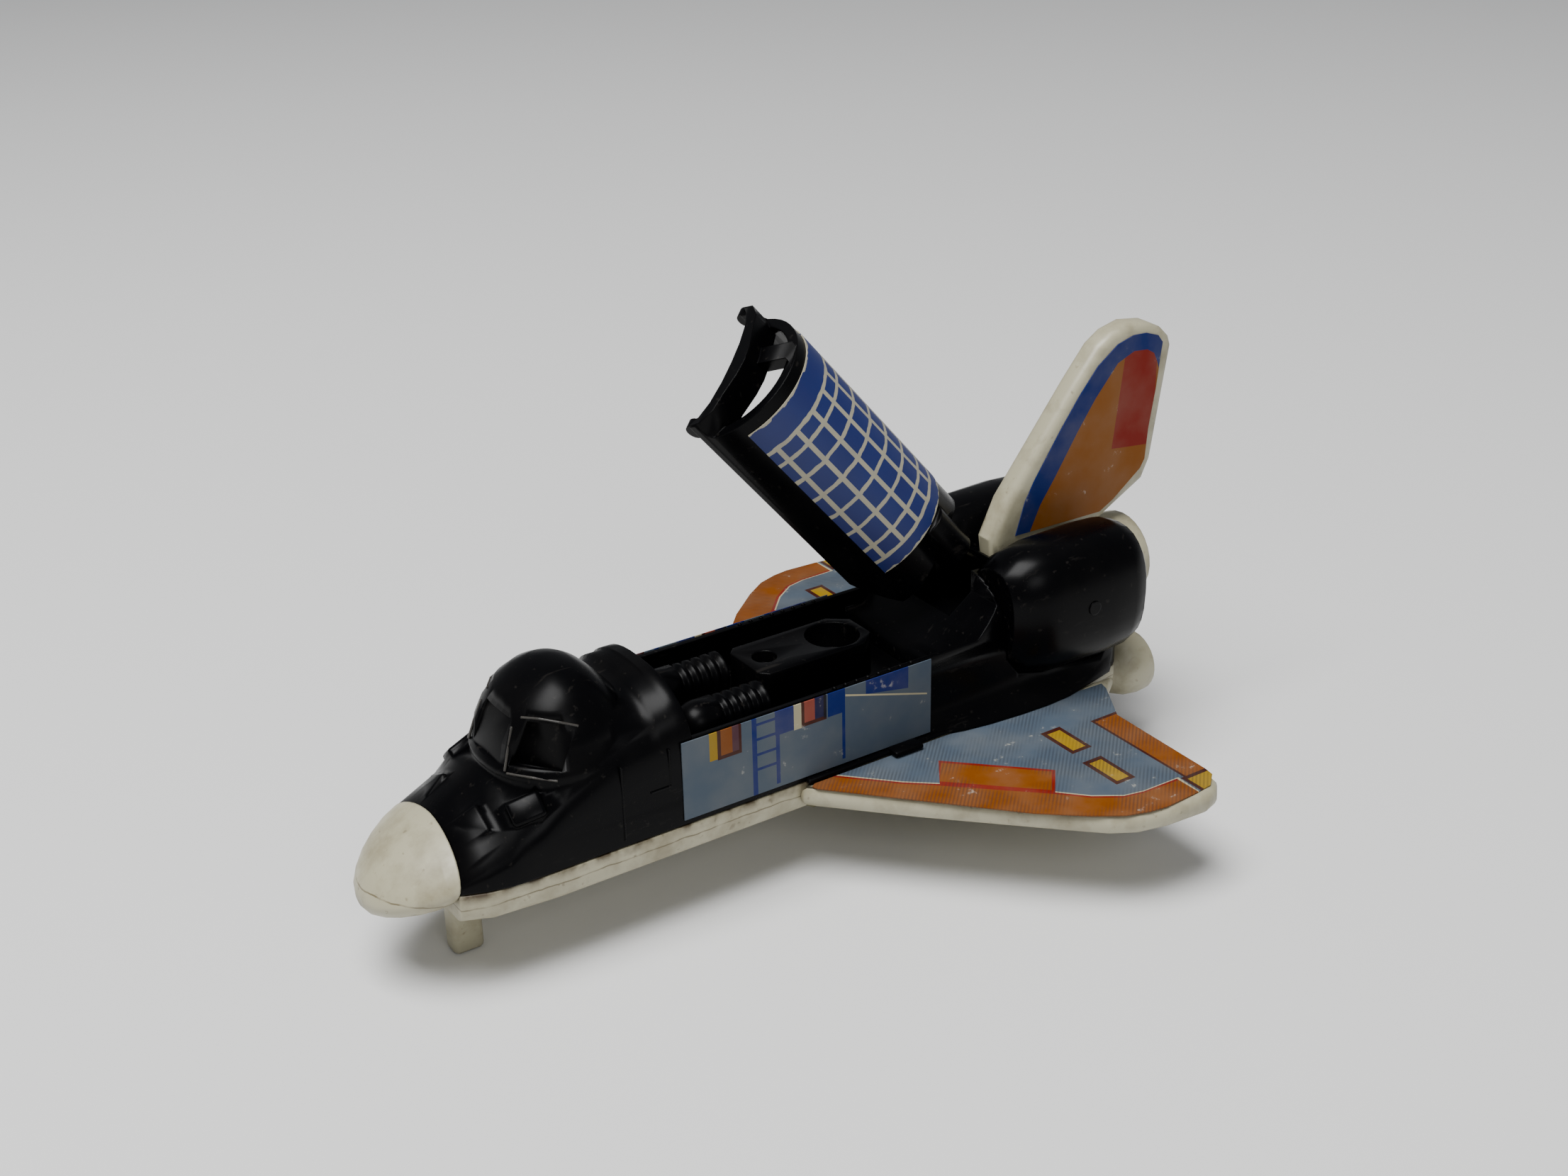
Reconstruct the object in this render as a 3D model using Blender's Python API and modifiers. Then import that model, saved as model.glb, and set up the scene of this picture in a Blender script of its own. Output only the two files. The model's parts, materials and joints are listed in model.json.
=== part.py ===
"""A small plastic toy space shuttle with an open cargo bay and its bay door swung up."""
import math

import bmesh
import bpy
from mathutils import Matrix, Vector

# Lengths in this file are millimetres, and MM turns them to metres where a mesh is made.
# +X runs to the nose, +Y to port and +Z up. The floor is at zero, under the gear.
MM = 0.001
SEAM = 0.15             # gap between two mouldings that sit together
FILM = 0.12             # thickness of a self-adhesive label
FILM_GAP = 0.02         # glue line under a label

NOSE_TIP = 49.2
BELLY_Z = 7.9           # underside of the white belly, the height of the gear
SILL_Z = 11.2           # joint of the white belly and the black hull
HULL_HALF = 9.2         # half the width of the hull
WALL_TOP = 20.4         # top of the bay's side walls
BAY_HALF = 8.4          # half the width inside the bay
BAY_FLOOR = 16.2

NOSE_JOINT = 42.5       # where the white nose cone meets the hull, at the sill
NOSE_RAKE = -0.27       # lean of that joint, mm for each mm up
BAY_FRONT = 17.9        # bay's front end at the top of its side walls
BAY_REAR = -13.4
LIP_TOP = -20.1         # top of the raked lip behind the bay
COLLAR_RAKE = 0.06      # forward lean of the collar's rear face, mm for each mm up

WING_LOW = 8.8
WING_TOP = 11.1
FIN_HALF = 1.5
FIN_FOOT = 24.4         # fin's lower edge, in a slot of the tail

DOOR_PIVOT = (-20.4, 0.0, 26.4)
DOOR_RAISE = math.radians(50.1)
DOOR_YAW = math.radians(-8.2)
DOOR_ROLL = math.radians(57.3)
DOOR_RADIUS = 7.7       # outer radius of the door's arch, which closes between the bay's walls
DOOR_WALL = 1.1
DOOR_ARC_Z = -6.2       # arch's centre, below the pivot
DOOR_FOOT_Z = -6.9      # the door's long edges, just inside the tops of the walls
BALL_RADIUS = 1.5

BLACK = (0.012, 0.012, 0.014)
WHITE = (0.80, 0.79, 0.74)
LABEL_GREY = (0.45, 0.54, 0.63)
LABEL_BLUE = (0.02, 0.14, 0.50)
LABEL_OCHRE = (0.62, 0.33, 0.06)


def start_scene():
    """Clears the scene and makes one collection for the parts and one for the cutters."""
    for item in list(bpy.data.objects):
        bpy.data.objects.remove(item, do_unlink=True)
    made = []
    for name in ("toy_space_shuttle", "cutters"):
        collection = bpy.data.collections.new(name)
        bpy.context.scene.collection.children.link(collection)
        made.append(collection)
    return made


parts, cutters = start_scene()


def make_material(name, colour, roughness):
    material = bpy.data.materials.new(name)
    material.use_nodes = True
    shader = material.node_tree.nodes["Principled BSDF"]
    shader.inputs["Base Color"].default_value = (*colour, 1.0)
    shader.inputs["Roughness"].default_value = roughness
    shader.inputs["Metallic"].default_value = 0.0
    return material


def add_object(name, mesh, colour, roughness=0.35):
    """Puts a mesh in the scene as a part with a material of its own."""
    item = bpy.data.objects.new(name, mesh)
    parts.objects.link(item)
    mesh.materials.append(make_material(name, colour, roughness))
    mesh.shade_smooth()
    mesh.set_sharp_from_angle(angle=math.radians(35))
    return item


def from_bmesh(name, bm, colour, roughness=0.35):
    mesh = bpy.data.meshes.new(name)
    bm.to_mesh(mesh)
    bm.free()
    return add_object(name, mesh, colour, roughness)


def combine(target, tool, operation, solver="EXACT"):
    """Joins or cuts a part with a tool, which moves to the cutters and follows the part's parent."""
    parts.objects.unlink(tool)
    cutters.objects.link(tool)
    tool.hide_render = True
    tool.display_type = "WIRE"
    tool.parent = target.parent
    modifier = target.modifiers.new(tool.name, "BOOLEAN")
    modifier.operation = operation
    modifier.solver = solver
    modifier.object = tool


def cut(target, tool, solver="EXACT"):
    combine(target, tool, "DIFFERENCE", solver)


def fuse(target, tool):
    combine(target, tool, "UNION")


PLANES = {
    "XY": Matrix.Identity(3),
    "XZ": Matrix(((1, 0, 0), (0, 0, -1), (0, 1, 0))),
    "YZ": Matrix(((0, 0, 1), (1, 0, 0), (0, 1, 0))),
}


def plate(name, outline, low, high, colour, plane="XY", rounding=0.0, roughness=0.35):
    """A flat outline with a thickness from low to high along the plane's normal."""
    curve = bpy.data.curves.new(name, "CURVE")
    curve.dimensions = "2D"
    curve.fill_mode = "BOTH"
    curve.extrude = ((high - low) / 2 - rounding) * MM
    curve.bevel_depth = rounding * MM
    curve.bevel_resolution = 2
    curve.offset = -rounding * MM
    spline = curve.splines.new("POLY")
    spline.points.add(len(outline) - 1)
    for point, (a, b) in zip(spline.points, outline):
        point.co = (a * MM, b * MM, 0.0, 1.0)
    spline.use_cyclic_u = True
    drawn = bpy.data.objects.new(name + "_outline", curve)
    bpy.context.scene.collection.objects.link(drawn)
    turn = PLANES[plane]
    middle = turn @ Vector((0.0, 0.0, 1.0)) * ((low + high) / 2 * MM)
    if plane == "XZ":
        middle = -middle
    drawn.matrix_world = Matrix.Translation(middle) @ turn.to_4x4()
    depsgraph = bpy.context.evaluated_depsgraph_get()
    mesh = bpy.data.meshes.new_from_object(drawn.evaluated_get(depsgraph))
    bm = bmesh.new()
    bm.from_mesh(mesh)
    bmesh.ops.remove_doubles(bm, verts=bm.verts, dist=0.00001)
    bmesh.ops.recalc_face_normals(bm, faces=bm.faces)
    bm.to_mesh(mesh)
    bm.free()
    mesh.materials.clear()
    item = add_object(name, mesh, colour, roughness)
    item.matrix_world = drawn.matrix_world
    bpy.data.objects.remove(drawn, do_unlink=True)
    return item


def loft(name, rings, colour, roughness=0.35):
    """A closed body through rings that all have the same number of points."""
    bm = bmesh.new()
    rows = [[bm.verts.new(Vector(point) * MM) for point in ring] for ring in rings]
    count = len(rows[0])
    for near, far in zip(rows, rows[1:]):
        for i in range(count):
            j = (i + 1) % count
            bm.faces.new((near[i], near[j], far[j], far[i]))
    bm.faces.new(rows[0])
    bm.faces.new(rows[-1])
    bmesh.ops.recalc_face_normals(bm, faces=bm.faces)
    return from_bmesh(name, bm, colour, roughness)


def box(name, low, high, colour=BLACK):
    """A box between two opposite corners."""
    bm = bmesh.new()
    bmesh.ops.create_cube(bm, size=1.0)
    size = [h - l for l, h in zip(low, high)]
    middle = [(h + l) / 2 for l, h in zip(low, high)]
    bmesh.ops.scale(bm, vec=[s * MM for s in size], verts=bm.verts)
    bmesh.ops.translate(bm, vec=[m * MM for m in middle], verts=bm.verts)
    return from_bmesh(name, bm, colour)


def cylinder(name, centre, radius, length, colour=BLACK, axis="Z", sides=32):
    """A cylinder about a point, along X, Y or Z."""
    bm = bmesh.new()
    bmesh.ops.create_cone(bm, cap_ends=True, segments=sides, radius1=radius * MM,
                          radius2=radius * MM, depth=length * MM)
    if axis == "X":
        bmesh.ops.rotate(bm, matrix=Matrix.Rotation(math.pi / 2, 3, "Y"), verts=bm.verts)
    if axis == "Y":
        bmesh.ops.rotate(bm, matrix=Matrix.Rotation(math.pi / 2, 3, "X"), verts=bm.verts)
    bmesh.ops.translate(bm, vec=Vector(centre) * MM, verts=bm.verts)
    return from_bmesh(name, bm, colour)


def turned(name, profile, colour, steps=32, roughness=0.35):
    """A turned shape: a profile of (radius, height) pairs from top to bottom, about local Z."""
    mesh = bpy.data.meshes.new(name)
    bm = bmesh.new()
    verts = [bm.verts.new((radius * MM, 0.0, height * MM)) for radius, height in profile]
    for first, second in zip(verts, verts[1:]):
        bm.edges.new((first, second))
    bm.to_mesh(mesh)
    bm.free()
    item = add_object(name, mesh, colour, roughness)
    screw = item.modifiers.new("turn", "SCREW")
    screw.axis = "Z"
    screw.steps = steps
    screw.render_steps = steps
    screw.use_merge_vertices = True
    screw.merge_threshold = 0.00001
    return item


def superellipse(x, centre_y, centre_z, half, up, down, power, count=40, lean=0.0):
    """A closed ring across the hull, with its own height above and below its widest level."""
    ring = []
    for i in range(count):
        angle = 2 * math.pi * i / count
        c, s = math.cos(angle), math.sin(angle)
        y = half * math.copysign(abs(c) ** (2 / power), c)
        z = (up if s > 0 else down) * math.copysign(abs(s) ** (2 / power), s)
        ring.append((x + lean * z, centre_y + y, centre_z + z))
    return ring


def arch(x, half, base, spring, crown, power, count=24, lean=0.0):
    """A ring with upright sides from the base to the spring, then a rounded top."""
    ring = [(x, half, base)]
    for i in range(count + 1):
        angle = math.pi * i / count
        c, s = math.cos(angle), math.sin(angle)
        y = half * math.copysign(abs(c) ** (2 / power), c)
        z = spring + (crown - spring) * abs(s) ** (2 / power)
        ring.append((x + lean * (z - base), y, z))
    ring.append((x, -half, base))
    return ring


def mirrored(outline):
    return [(x, -y) for x, y in outline]


def make_nose_cone():
    """The blunt white cone: station, half width, widest level, height above, depth below, lean."""
    stations = ((NOSE_JOINT, 8.05, 11.9, 4.15, 3.7, NOSE_RAKE), (43.7, 7.7, 11.5, 3.95, 3.6, -0.24),
                (45.2, 6.8, 11.0, 3.5, 3.3, -0.19), (46.6, 5.6, 10.5, 2.9, 2.9, -0.13),
                (47.8, 4.2, 10.0, 2.2, 2.3, -0.07), (48.7, 2.7, 9.6, 1.4, 1.6, 0.0),
                (NOSE_TIP, 1.1, 9.4, 0.6, 0.7, 0.0))
    rings = []
    for x, half, z, up, down, lean in stations:
        rings.append(superellipse(x, 0, z, half, up, down, 1.75, lean=lean))
    return loft("nose_cone", rings, WHITE, 0.45)


def make_belly():
    """The white lower moulding, from behind the nose cone to the tail."""
    stations = ((NOSE_JOINT + 0.1, 8.05, 8.3, 11.5), (39.5, 8.9, 8.0, 11.3), (33.0, 9.3, BELLY_Z, SILL_Z),
                (-30.0, 9.3, BELLY_Z, SILL_Z), (-36.8, 8.2, 8.6, SILL_Z))
    corner = 1.3
    rings = []
    for x, half, low, high in stations:
        ring = [(x, half, high), (x, -half, high)]
        for side, start in ((-1, 0.0), (1, math.pi / 2)):
            for i in range(5):
                angle = math.pi / 2 * i / 4 + start
                y = side * (half - corner) - corner * math.cos(angle)
                z = low + corner - corner * math.sin(angle)
                ring.append((x, y, z))
        rings.append(ring)
    return loft("belly", rings, WHITE, 0.45)


def make_upper_hull():
    """The black upper moulding: cockpit, open bay and tail, as one arched body."""
    base = SILL_Z + SEAM
    stations = (
        (NOSE_JOINT + 0.0, 8.05, 11.65, 12.0, 16.0, 1.65, 24, NOSE_RAKE),
        (40.1, 8.7, 11.45, 12.6, 17.2, 1.6, 24, -0.16),
        (37.7, 9.1, base, 13.2, 18.4, 1.6, 24, -0.08),
        (36.3, 9.2, base, 13.8, 19.1, 1.8),
        (34.0, 9.2, base, 14.4, 19.5, 2.0),
        (31.5, 9.2, base, 15.4, 21.2, 2.3),
        (28.0, 9.2, base, 16.2, 23.6, 2.3),
        (24.9, 9.2, base, 17.0, 24.9, 2.4),
        (22.3, 9.2, base, 17.8, 24.6, 2.5),
        (21.3, 9.2, base, 18.0, 24.7, 2.5),
        (21.0, 9.2, base, 18.0, 25.2, 2.5),
        (19.6, 9.2, base, 18.0, 25.2, 2.5),
        (19.4, 9.2, base, 18.0, 25.5, 2.5),
        (16.8, 9.2, base, 18.0, 25.5, 2.5),
        (-17.0, 9.2, base, 18.0, 26.1, 2.5),
        (-22.0, 9.2, base, 18.0, 25.6, 2.5),
        (-34.0, 9.0, base, 17.0, 22.8, 2.5),
        (-36.2, 8.5, base, 16.6, 21.8, 2.5),
        (-37.0, 7.9, base, 16.2, 21.0, 2.5),
    )
    rings = [arch(*station) for station in stations]
    hull = loft("upper_hull", rings, BLACK)
    fuse(hull, make_dome())
    fuse(hull, make_foot())
    for side in (-1, 1):
        fuse(hull, raised_block("deck_block", (39.0, side * 4.2, 15.6), (3.2, 3.4, 1.6), 36, side * -27))
        fuse(hull, raised_block("shoulder_block", (34.6, side * 6.7, 17.2), (3.4, 2.6, 2.2), 20, side * -42))
        cut(hull, window_pane("side_pane", ((34.0, 3.3, 20.5), (30.9, 7.4, 20.5), (32.4, 3.5, 24.8)), side))
    cut(hull, window_pane("front_pane", ((35.2, -2.8, 20.5), (35.2, 2.8, 20.5), (33.5, -2.5, 24.8)), 1))
    rise = 12.0
    opening = ((BAY_FRONT, WALL_TOP), (BAY_FRONT + COLLAR_RAKE * rise, WALL_TOP + rise),
               (LIP_TOP, WALL_TOP + rise), (LIP_TOP, 23.0), (-16.6, WALL_TOP))
    cut(hull, plate("bay_mouth", opening, -14.0, 14.0, BLACK, plane="XZ"))
    well = ((BAY_FRONT - 0.3, BAY_FLOOR), (BAY_FRONT - 0.3, 24.0), (-16.7, 24.0), (-16.7, WALL_TOP + 0.1),
            (-14.2, 18.7), (BAY_REAR + 1.2, 18.7), (BAY_REAR + 1.2, BAY_FLOOR))
    cut(hull, plate("bay_well", well, -BAY_HALF, BAY_HALF, BLACK, plane="XZ"))
    cut(hull, box("pivot_notch", (-24.05, -3.45, 20.9), (-12.0, 3.45, 30.0)))
    slot = FIN_HALF + SEAM
    cut(hull, box("fin_slot", (-48.0, -slot, FIN_FOOT - SEAM), (-24.5, slot, 30.0)), "MANIFOLD")
    for side in (-1, 1):
        cut(hull, make_pod(side, "pod_seat", SEAM), "MANIFOLD")
    return hull


def make_dome():
    """The cockpit's dome, level by level: height, front, rear, half width."""
    levels = ((15.0, 35.6, 22.0, 8.1), (19.6, 35.9, 21.0, 8.3), (20.2, 35.9, 21.0, 8.3),
              (20.5, 35.5, 21.0, 8.1), (22.6, 35.1, 21.4, 7.8), (24.4, 34.2, 22.2, 7.1),
              (25.9, 33.0, 23.4, 6.0), (27.1, 31.4, 24.6, 4.6), (27.9, 29.9, 25.8, 3.0),
              (28.2, 28.5, 27.0, 1.3))
    middle = 28.0
    rings = []
    for z, front, rear, half in levels:
        ring = []
        for i in range(44):
            angle = 2 * math.pi * i / 44
            c, s = math.cos(angle), math.sin(angle)
            reach = front - middle if c > 0 else middle - rear
            x = middle + reach * math.copysign(abs(c) ** 0.91, c)
            ring.append((x, half * math.copysign(abs(s) ** 0.91, s), z))
        rings.append(ring)
    return loft("dome", rings, BLACK)


def make_foot():
    """The flared foot of the hull's tail, which covers the inner edge of the wings."""
    edge = ((-8.0, 8.0), (-10.0, 9.3), (-14.0, 10.4), (-17.3, 10.9), (-21.2, 11.2), (-24.6, 11.3),
            (-27.7, 11.1), (-31.3, 10.3), (-35.0, 9.4), (-36.6, 8.0))
    rings = []
    for z, share in ((SILL_Z + SEAM, 1.0), (SILL_Z + 0.7, 0.9), (14.2, 0.0)):
        half = [(x, 8.0 + max(0.0, y - 8.0) * share) for x, y in edge]
        rings.append([(x, y, z) for x, y in half] + [(x, -y, z) for x, y in reversed(half)])
    return loft("tail_foot", rings, BLACK)


def raised_block(name, centre, size, pitch, roll):
    """A rounded block that stands a little out of the hull, tilted to follow it."""
    bm = bmesh.new()
    bmesh.ops.create_cube(bm, size=1.0)
    bmesh.ops.scale(bm, vec=[length * MM for length in size], verts=bm.verts)
    bmesh.ops.bevel(bm, geom=list(bm.edges), offset=0.4 * MM, offset_type="OFFSET", affect="EDGES",
                    segments=2, profile=0.5, material=-1)
    item = from_bmesh(name, bm, BLACK)
    item.matrix_world = (Matrix.Translation(Vector(centre) * MM) @ Matrix.Rotation(math.radians(roll), 4, "X")
                         @ Matrix.Rotation(math.radians(pitch), 4, "Y"))
    return item


def window_pane(name, corners, side):
    """A cutter that leaves a flat pane through three corners: two along its sill, one above the first."""
    near, far, upper = (Vector((x, side * y, z)) for x, y, z in corners)
    across = far - near
    upward = upper - near
    outward = across.cross(upward).normalized()
    if outward.x < 0:
        outward = -outward
    trim = across * 0.06
    ring = [near, far, far + upward - trim, near + upward + trim]
    return loft(name, [ring, [point + outward * 4.0 for point in ring]], BLACK)


def make_bay_tanks(side, name):
    """A round tank with a ribbed pipe behind it, lying on the bay's floor."""
    radius = 2.3
    ribs = 5
    pitch = 1.1
    profile = [(0.0, 0.0)]
    for i in range(1, 7):
        angle = math.pi / 2 * i / 6
        profile.append((radius * math.sin(angle), -radius * (1 - math.cos(angle))))
    profile.append((radius, -4.2))
    for i in range(ribs):
        start = -4.4 - i * pitch
        profile.extend(((1.8, start), (1.8, start - 0.3), (2.2, start - 0.45), (2.2, start - 0.9)))
    profile.extend(((1.8, -4.4 - ribs * pitch), (0.0, -4.4 - ribs * pitch)))
    item = turned(name, profile, BLACK, steps=20)
    item.matrix_world = (Matrix.Translation(Vector((16.6, side * 3.9, BAY_FLOOR + SEAM + radius)) * MM)
                         @ Matrix.Rotation(math.pi / 2, 4, "Y"))
    return item


def make_bay_block():
    """The mounting block in the bay, with a round socket and a keyed notch in its top."""
    top = 21.1
    outline = ((6.2, -2.7), (6.2, 2.7), (5.4, 3.5), (-6.2, 3.5), (-8.2, 1.9),
               (-8.2, -1.9), (-6.2, -3.5), (5.4, -3.5))
    block = plate("bay_block", outline, BAY_FLOOR + SEAM, top, BLACK)
    cut(block, cylinder("block_socket", (-4.6, 0, top - 1.0), 2.9, 4.0, axis="Z"))
    cut(block, cylinder("block_notch", (3.8, 0, top - 0.4), 1.3, 2.0, axis="Z"))
    return block


def make_wing(side, name):
    """A flat white delta wing beside the belly."""
    outline = [(5.9, 9.45), (5.9, 9.9), (-2.2, 18.6), (-12.1, 28.5), (-15.3, 31.6), (-17.8, 33.1),
               (-21.2, 33.9), (-25.8, 34.2), (-27.6, 33.6), (-28.8, 32.4), (-29.2, 30.6),
               (-29.8, 16.8), (-32.9, 11.5), (-35.5, 9.45)]
    if side < 0:
        outline = mirrored(outline)
    return plate(name, outline, WING_LOW, WING_TOP, WHITE, rounding=0.9, roughness=0.45)


def make_wing_label(side, name):
    outline = [(-2.5, 18.3), (-12.4, 28.1), (-16.8, 32.3), (-20.2, 33.0), (-26.4, 32.6), (-28.3, 31.2),
               (-29.0, 17.0), (-32.0, 11.9), (-32.6, 10.8), (3.0, 10.8), (3.0, 13.0)]
    if side < 0:
        outline = mirrored(outline)
    return plate(name, outline, WING_TOP + FILM_GAP, WING_TOP + FILM_GAP + FILM, LABEL_GREY)


def make_side_label(side, name):
    outline = ((19.3, 11.9), (19.3, 20.4), (-10.4, 20.4), (-10.4, 11.9))
    near = HULL_HALF + FILM_GAP
    low, high = (near, near + FILM) if side > 0 else (-near - FILM, -near)
    return plate(name, outline, low, high, LABEL_GREY, plane="XZ")


def make_fin():
    """The upright tail fin between the two engine pods."""
    outline = ((-24.5, 26.8), (-26.5, 30.9), (-35.5, 42.2), (-38.5, 45.7), (-40.4, 46.9),
               (-43.0, 47.5), (-45.7, 47.1), (-47.7, 46.1), (-48.8, 45.0), (-49.2, 43.9),
               (-47.1, 31.1), (-46.0, 28.8), (-40.4, 25.8), (-38.0, FIN_FOOT), (-24.8, FIN_FOOT))
    return plate("tail_fin", outline, -FIN_HALF, FIN_HALF, WHITE, plane="XZ", rounding=0.9, roughness=0.45)


def make_pod(side, name, margin=0.0):
    """A long engine pod beside the fin, or with a margin the hollow that it sits in."""
    stations = ((-20.6, 3.5, 5.2, 6.6), (-22.2, 4.6, 6.6, 7.0), (-25.4, 5.1, 7.3, 7.2),
                (-32.5, 5.2, 7.5, 7.2), (-35.6, 5.2, 7.3, 7.2), (-37.2, 4.8, 6.7, 7.2),
                (-38.1, 3.9, 5.5, 7.2), (-38.5, 2.7, 3.8, 7.2))
    rings = []
    for x, half, up, y in stations:
        rings.append(superellipse(x, side * y, 21.3, half + margin, up + margin, up + margin, 2.4, count=28))
    if margin:
        front, rear = rings[0], rings[-1]
        rings = ([[(x + margin, y, z) for x, y, z in front]] + rings
                 + [[(x - margin, y, z) for x, y, z in rear]])
    return loft(name, rings, BLACK)


def make_nozzle(name, place, radius, depth, throat, neck):
    """A round white nozzle, hollow and open to the rear, on a neck that runs into the tail."""
    wall = 0.9
    profile = ((0.0, neck), (throat, neck), (throat, 0.0), (radius * 0.8, -depth * 0.12),
               (radius * 0.95, -depth * 0.4), (radius, -depth * 0.7), (radius * 0.97, -depth),
               (radius - wall, -depth), (radius - wall - 0.3, -depth * 0.6), (0.0, -depth * 0.5))
    item = turned(name, profile, WHITE, steps=28, roughness=0.45)
    item.matrix_world = Matrix.Translation(Vector(place) * MM) @ Matrix.Rotation(math.pi / 2, 4, "Y")
    return item


def make_gear(name, x, y, length, width):
    """A rounded foot under the belly, from the floor to the belly's underside."""
    bm = bmesh.new()
    bmesh.ops.create_cube(bm, size=1.0)
    height = BELLY_Z - SEAM
    bmesh.ops.scale(bm, vec=(length * MM, width * MM, height * MM), verts=bm.verts)
    bmesh.ops.translate(bm, vec=(x * MM, y * MM, height / 2 * MM), verts=bm.verts)
    lower = [edge for edge in bm.edges if all(vert.co.z < 0.5 * MM for vert in edge.verts)]
    upright = [edge for edge in bm.edges if abs(edge.verts[0].co.z - edge.verts[1].co.z) > 1.0 * MM]
    bmesh.ops.bevel(bm, geom=lower + upright, offset=0.6 * MM, offset_type="OFFSET", affect="EDGES",
                    segments=3, profile=0.5, material=-1)
    return from_bmesh(name, bm, WHITE, 0.45)


def make_door_pivot():
    """The ball stud on the tail that carries the bay door."""
    bm = bmesh.new()
    bmesh.ops.create_uvsphere(bm, u_segments=24, v_segments=12, radius=BALL_RADIUS * MM)
    bmesh.ops.translate(bm, vec=Vector(DOOR_PIVOT) * MM, verts=bm.verts)
    ball = from_bmesh("door_pivot", bm, BLACK)
    aim = Vector((-0.75, 0.0, -0.66)).normalized()
    length = 3.8
    stem = cylinder("pivot_stem", (0, 0, 0), 0.9, length, axis="Z", sides=20)
    stem.matrix_world = (Matrix.Translation((Vector(DOOR_PIVOT) + aim * (length / 2)) * MM)
                         @ Vector((0, 0, 1)).rotation_difference(aim).to_matrix().to_4x4())
    fuse(ball, stem)
    return ball


def make_door_frame():
    """An empty on the pivot that holds the door: raised, then rolled about its own length."""
    frame = bpy.data.objects.new("door_frame", None)
    parts.objects.link(frame)
    frame.matrix_world = (Matrix.Translation(Vector(DOOR_PIVOT) * MM) @ Matrix.Rotation(DOOR_YAW, 4, "Z")
                          @ Matrix.Rotation(-DOOR_RAISE, 4, "Y") @ Matrix.Rotation(-DOOR_ROLL, 4, "X"))
    return frame


def door_arc(radius, first, last, count):
    """Points on the door's arch, from one angle off the crown to another, as (y, z)."""
    points = []
    for i in range(count + 1):
        angle = math.radians(first + (last - first) * i / count)
        points.append((radius * math.sin(angle), DOOR_ARC_Z + radius * math.cos(angle)))
    return points


def make_bay_door(frame):
    """The arched door: a shell closed at its rear end, with a cross bar ahead of its front edge."""
    inside = DOOR_RADIUS - DOOR_WALL
    section = [(DOOR_RADIUS, DOOR_FOOT_Z)] + door_arc(DOOR_RADIUS, 90, -90, 24)
    section += [(-DOOR_RADIUS, DOOR_FOOT_Z), (-inside, DOOR_FOOT_Z)]
    section += door_arc(inside, -90, 90, 24) + [(inside, DOOR_FOOT_Z)]
    door = plate("bay_door", section, 0.5, 34.0, BLACK, plane="YZ")
    door.parent = frame
    keep = ((6.8, -7.7), (1.2, -3.2), (1.4, -1.3), (2.5, 0.6), (3.9, 1.3), (3.9, 3.0), (30.9, 3.0),
            (30.9, -5.3), (31.4, -5.9), (33.0, -6.1), (33.0, -7.7))
    combine(door, plate("door_trim", keep, -10.0, 10.0, BLACK, plane="XZ"), "INTERSECT")
    end = [(y * 0.985, DOOR_ARC_Z + (z - DOOR_ARC_Z) * 0.985) for y, z in door_arc(DOOR_RADIUS, 80, -80, 20)]
    fuse(door, plate("door_end", end, 5.6, 7.0, BLACK, plane="YZ"))
    under = ((7.6, -6.8), (6.7, -6.0), (5.0, -5.3), (2.5, -4.9), (0.0, -4.8))
    over = ((7.55, -5.5), (6.1, -4.3), (4.2, -3.9), (1.8, -3.2), (0.0, -3.0))
    lower = list(under) + [(-y, z) for y, z in reversed(under[:-1])]
    upper = [(-y, z) for y, z in over] + [(y, z) for y, z in reversed(over[:-1])]
    fuse(door, plate("door_bar", lower + upper, 29.9, 33.2, BLACK, plane="YZ"))
    fuse(door, box("bar_strut", (30.1, -3.0, -3.9), (31.5, -0.9, 0.7)))
    for side in (-1, 1):
        fuse(door, cylinder("door_corner", (32.2, side * 7.15, -6.9), 0.95, 1.0, axis="Y", sides=20))
    cup = cylinder("door_cup", (2.75, 0, 0), 2.15, 5.5, axis="X", sides=28)
    fuse(door, cup)
    bm = bmesh.new()
    bmesh.ops.create_uvsphere(bm, u_segments=28, v_segments=14, radius=(BALL_RADIUS + 0.1) * MM)
    cut(door, from_bmesh("cup_hollow", bm, BLACK))
    return door


def make_door_label(frame):
    """The label wrapped over the door's arch."""
    low = DOOR_RADIUS + FILM_GAP
    outer = door_arc(low + FILM, 60, -60, 24)
    inner = door_arc(low, -60, 60, 24)
    label = plate("door_label", outer + inner, 5.95, 29.5, LABEL_BLUE, plane="YZ")
    label.parent = frame
    return label


def make_fin_label(side, name):
    outline = ((-28.9, 26.4), (-37.2, 41.2), (-40.2, 44.6), (-43.6, 46.0), (-47.4, 44.6), (-46.2, 31.4),
               (-45.0, 29.4), (-40.0, 26.6), (-37.0, 26.0))
    near = FIN_HALF + FILM_GAP
    low, high = (near, near + FILM) if side > 0 else (-near - FILM, -near)
    return plate(name, outline, low, high, LABEL_OCHRE, plane="XZ")


make_nose_cone()
make_belly()
make_upper_hull()
make_bay_block()
make_fin()
make_door_pivot()
door_frame = make_door_frame()
make_bay_door(door_frame)
make_door_label(door_frame)
for side_sign, side_name in ((1, "port"), (-1, "starboard")):
    make_bay_tanks(side_sign, "bay_tank_" + side_name)
    make_wing(side_sign, "wing_" + side_name)
    make_wing_label(side_sign, "wing_label_" + side_name)
    make_side_label(side_sign, "side_label_" + side_name)
    make_fin_label(side_sign, "fin_label_" + side_name)
    make_pod(side_sign, "engine_pod_" + side_name)
    make_nozzle("nozzle_" + side_name, (-37.7, side_sign * 5.4, 9.0), 3.6, 4.7, 2.0, 0.6)
    make_gear("main_gear_" + side_name, -20.0, side_sign * 7.2, 3.4, 2.4)
make_nozzle("nozzle_top", (-38.9, 0.0, 19.8), 5.0, 5.7, 1.7, 1.7)
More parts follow.
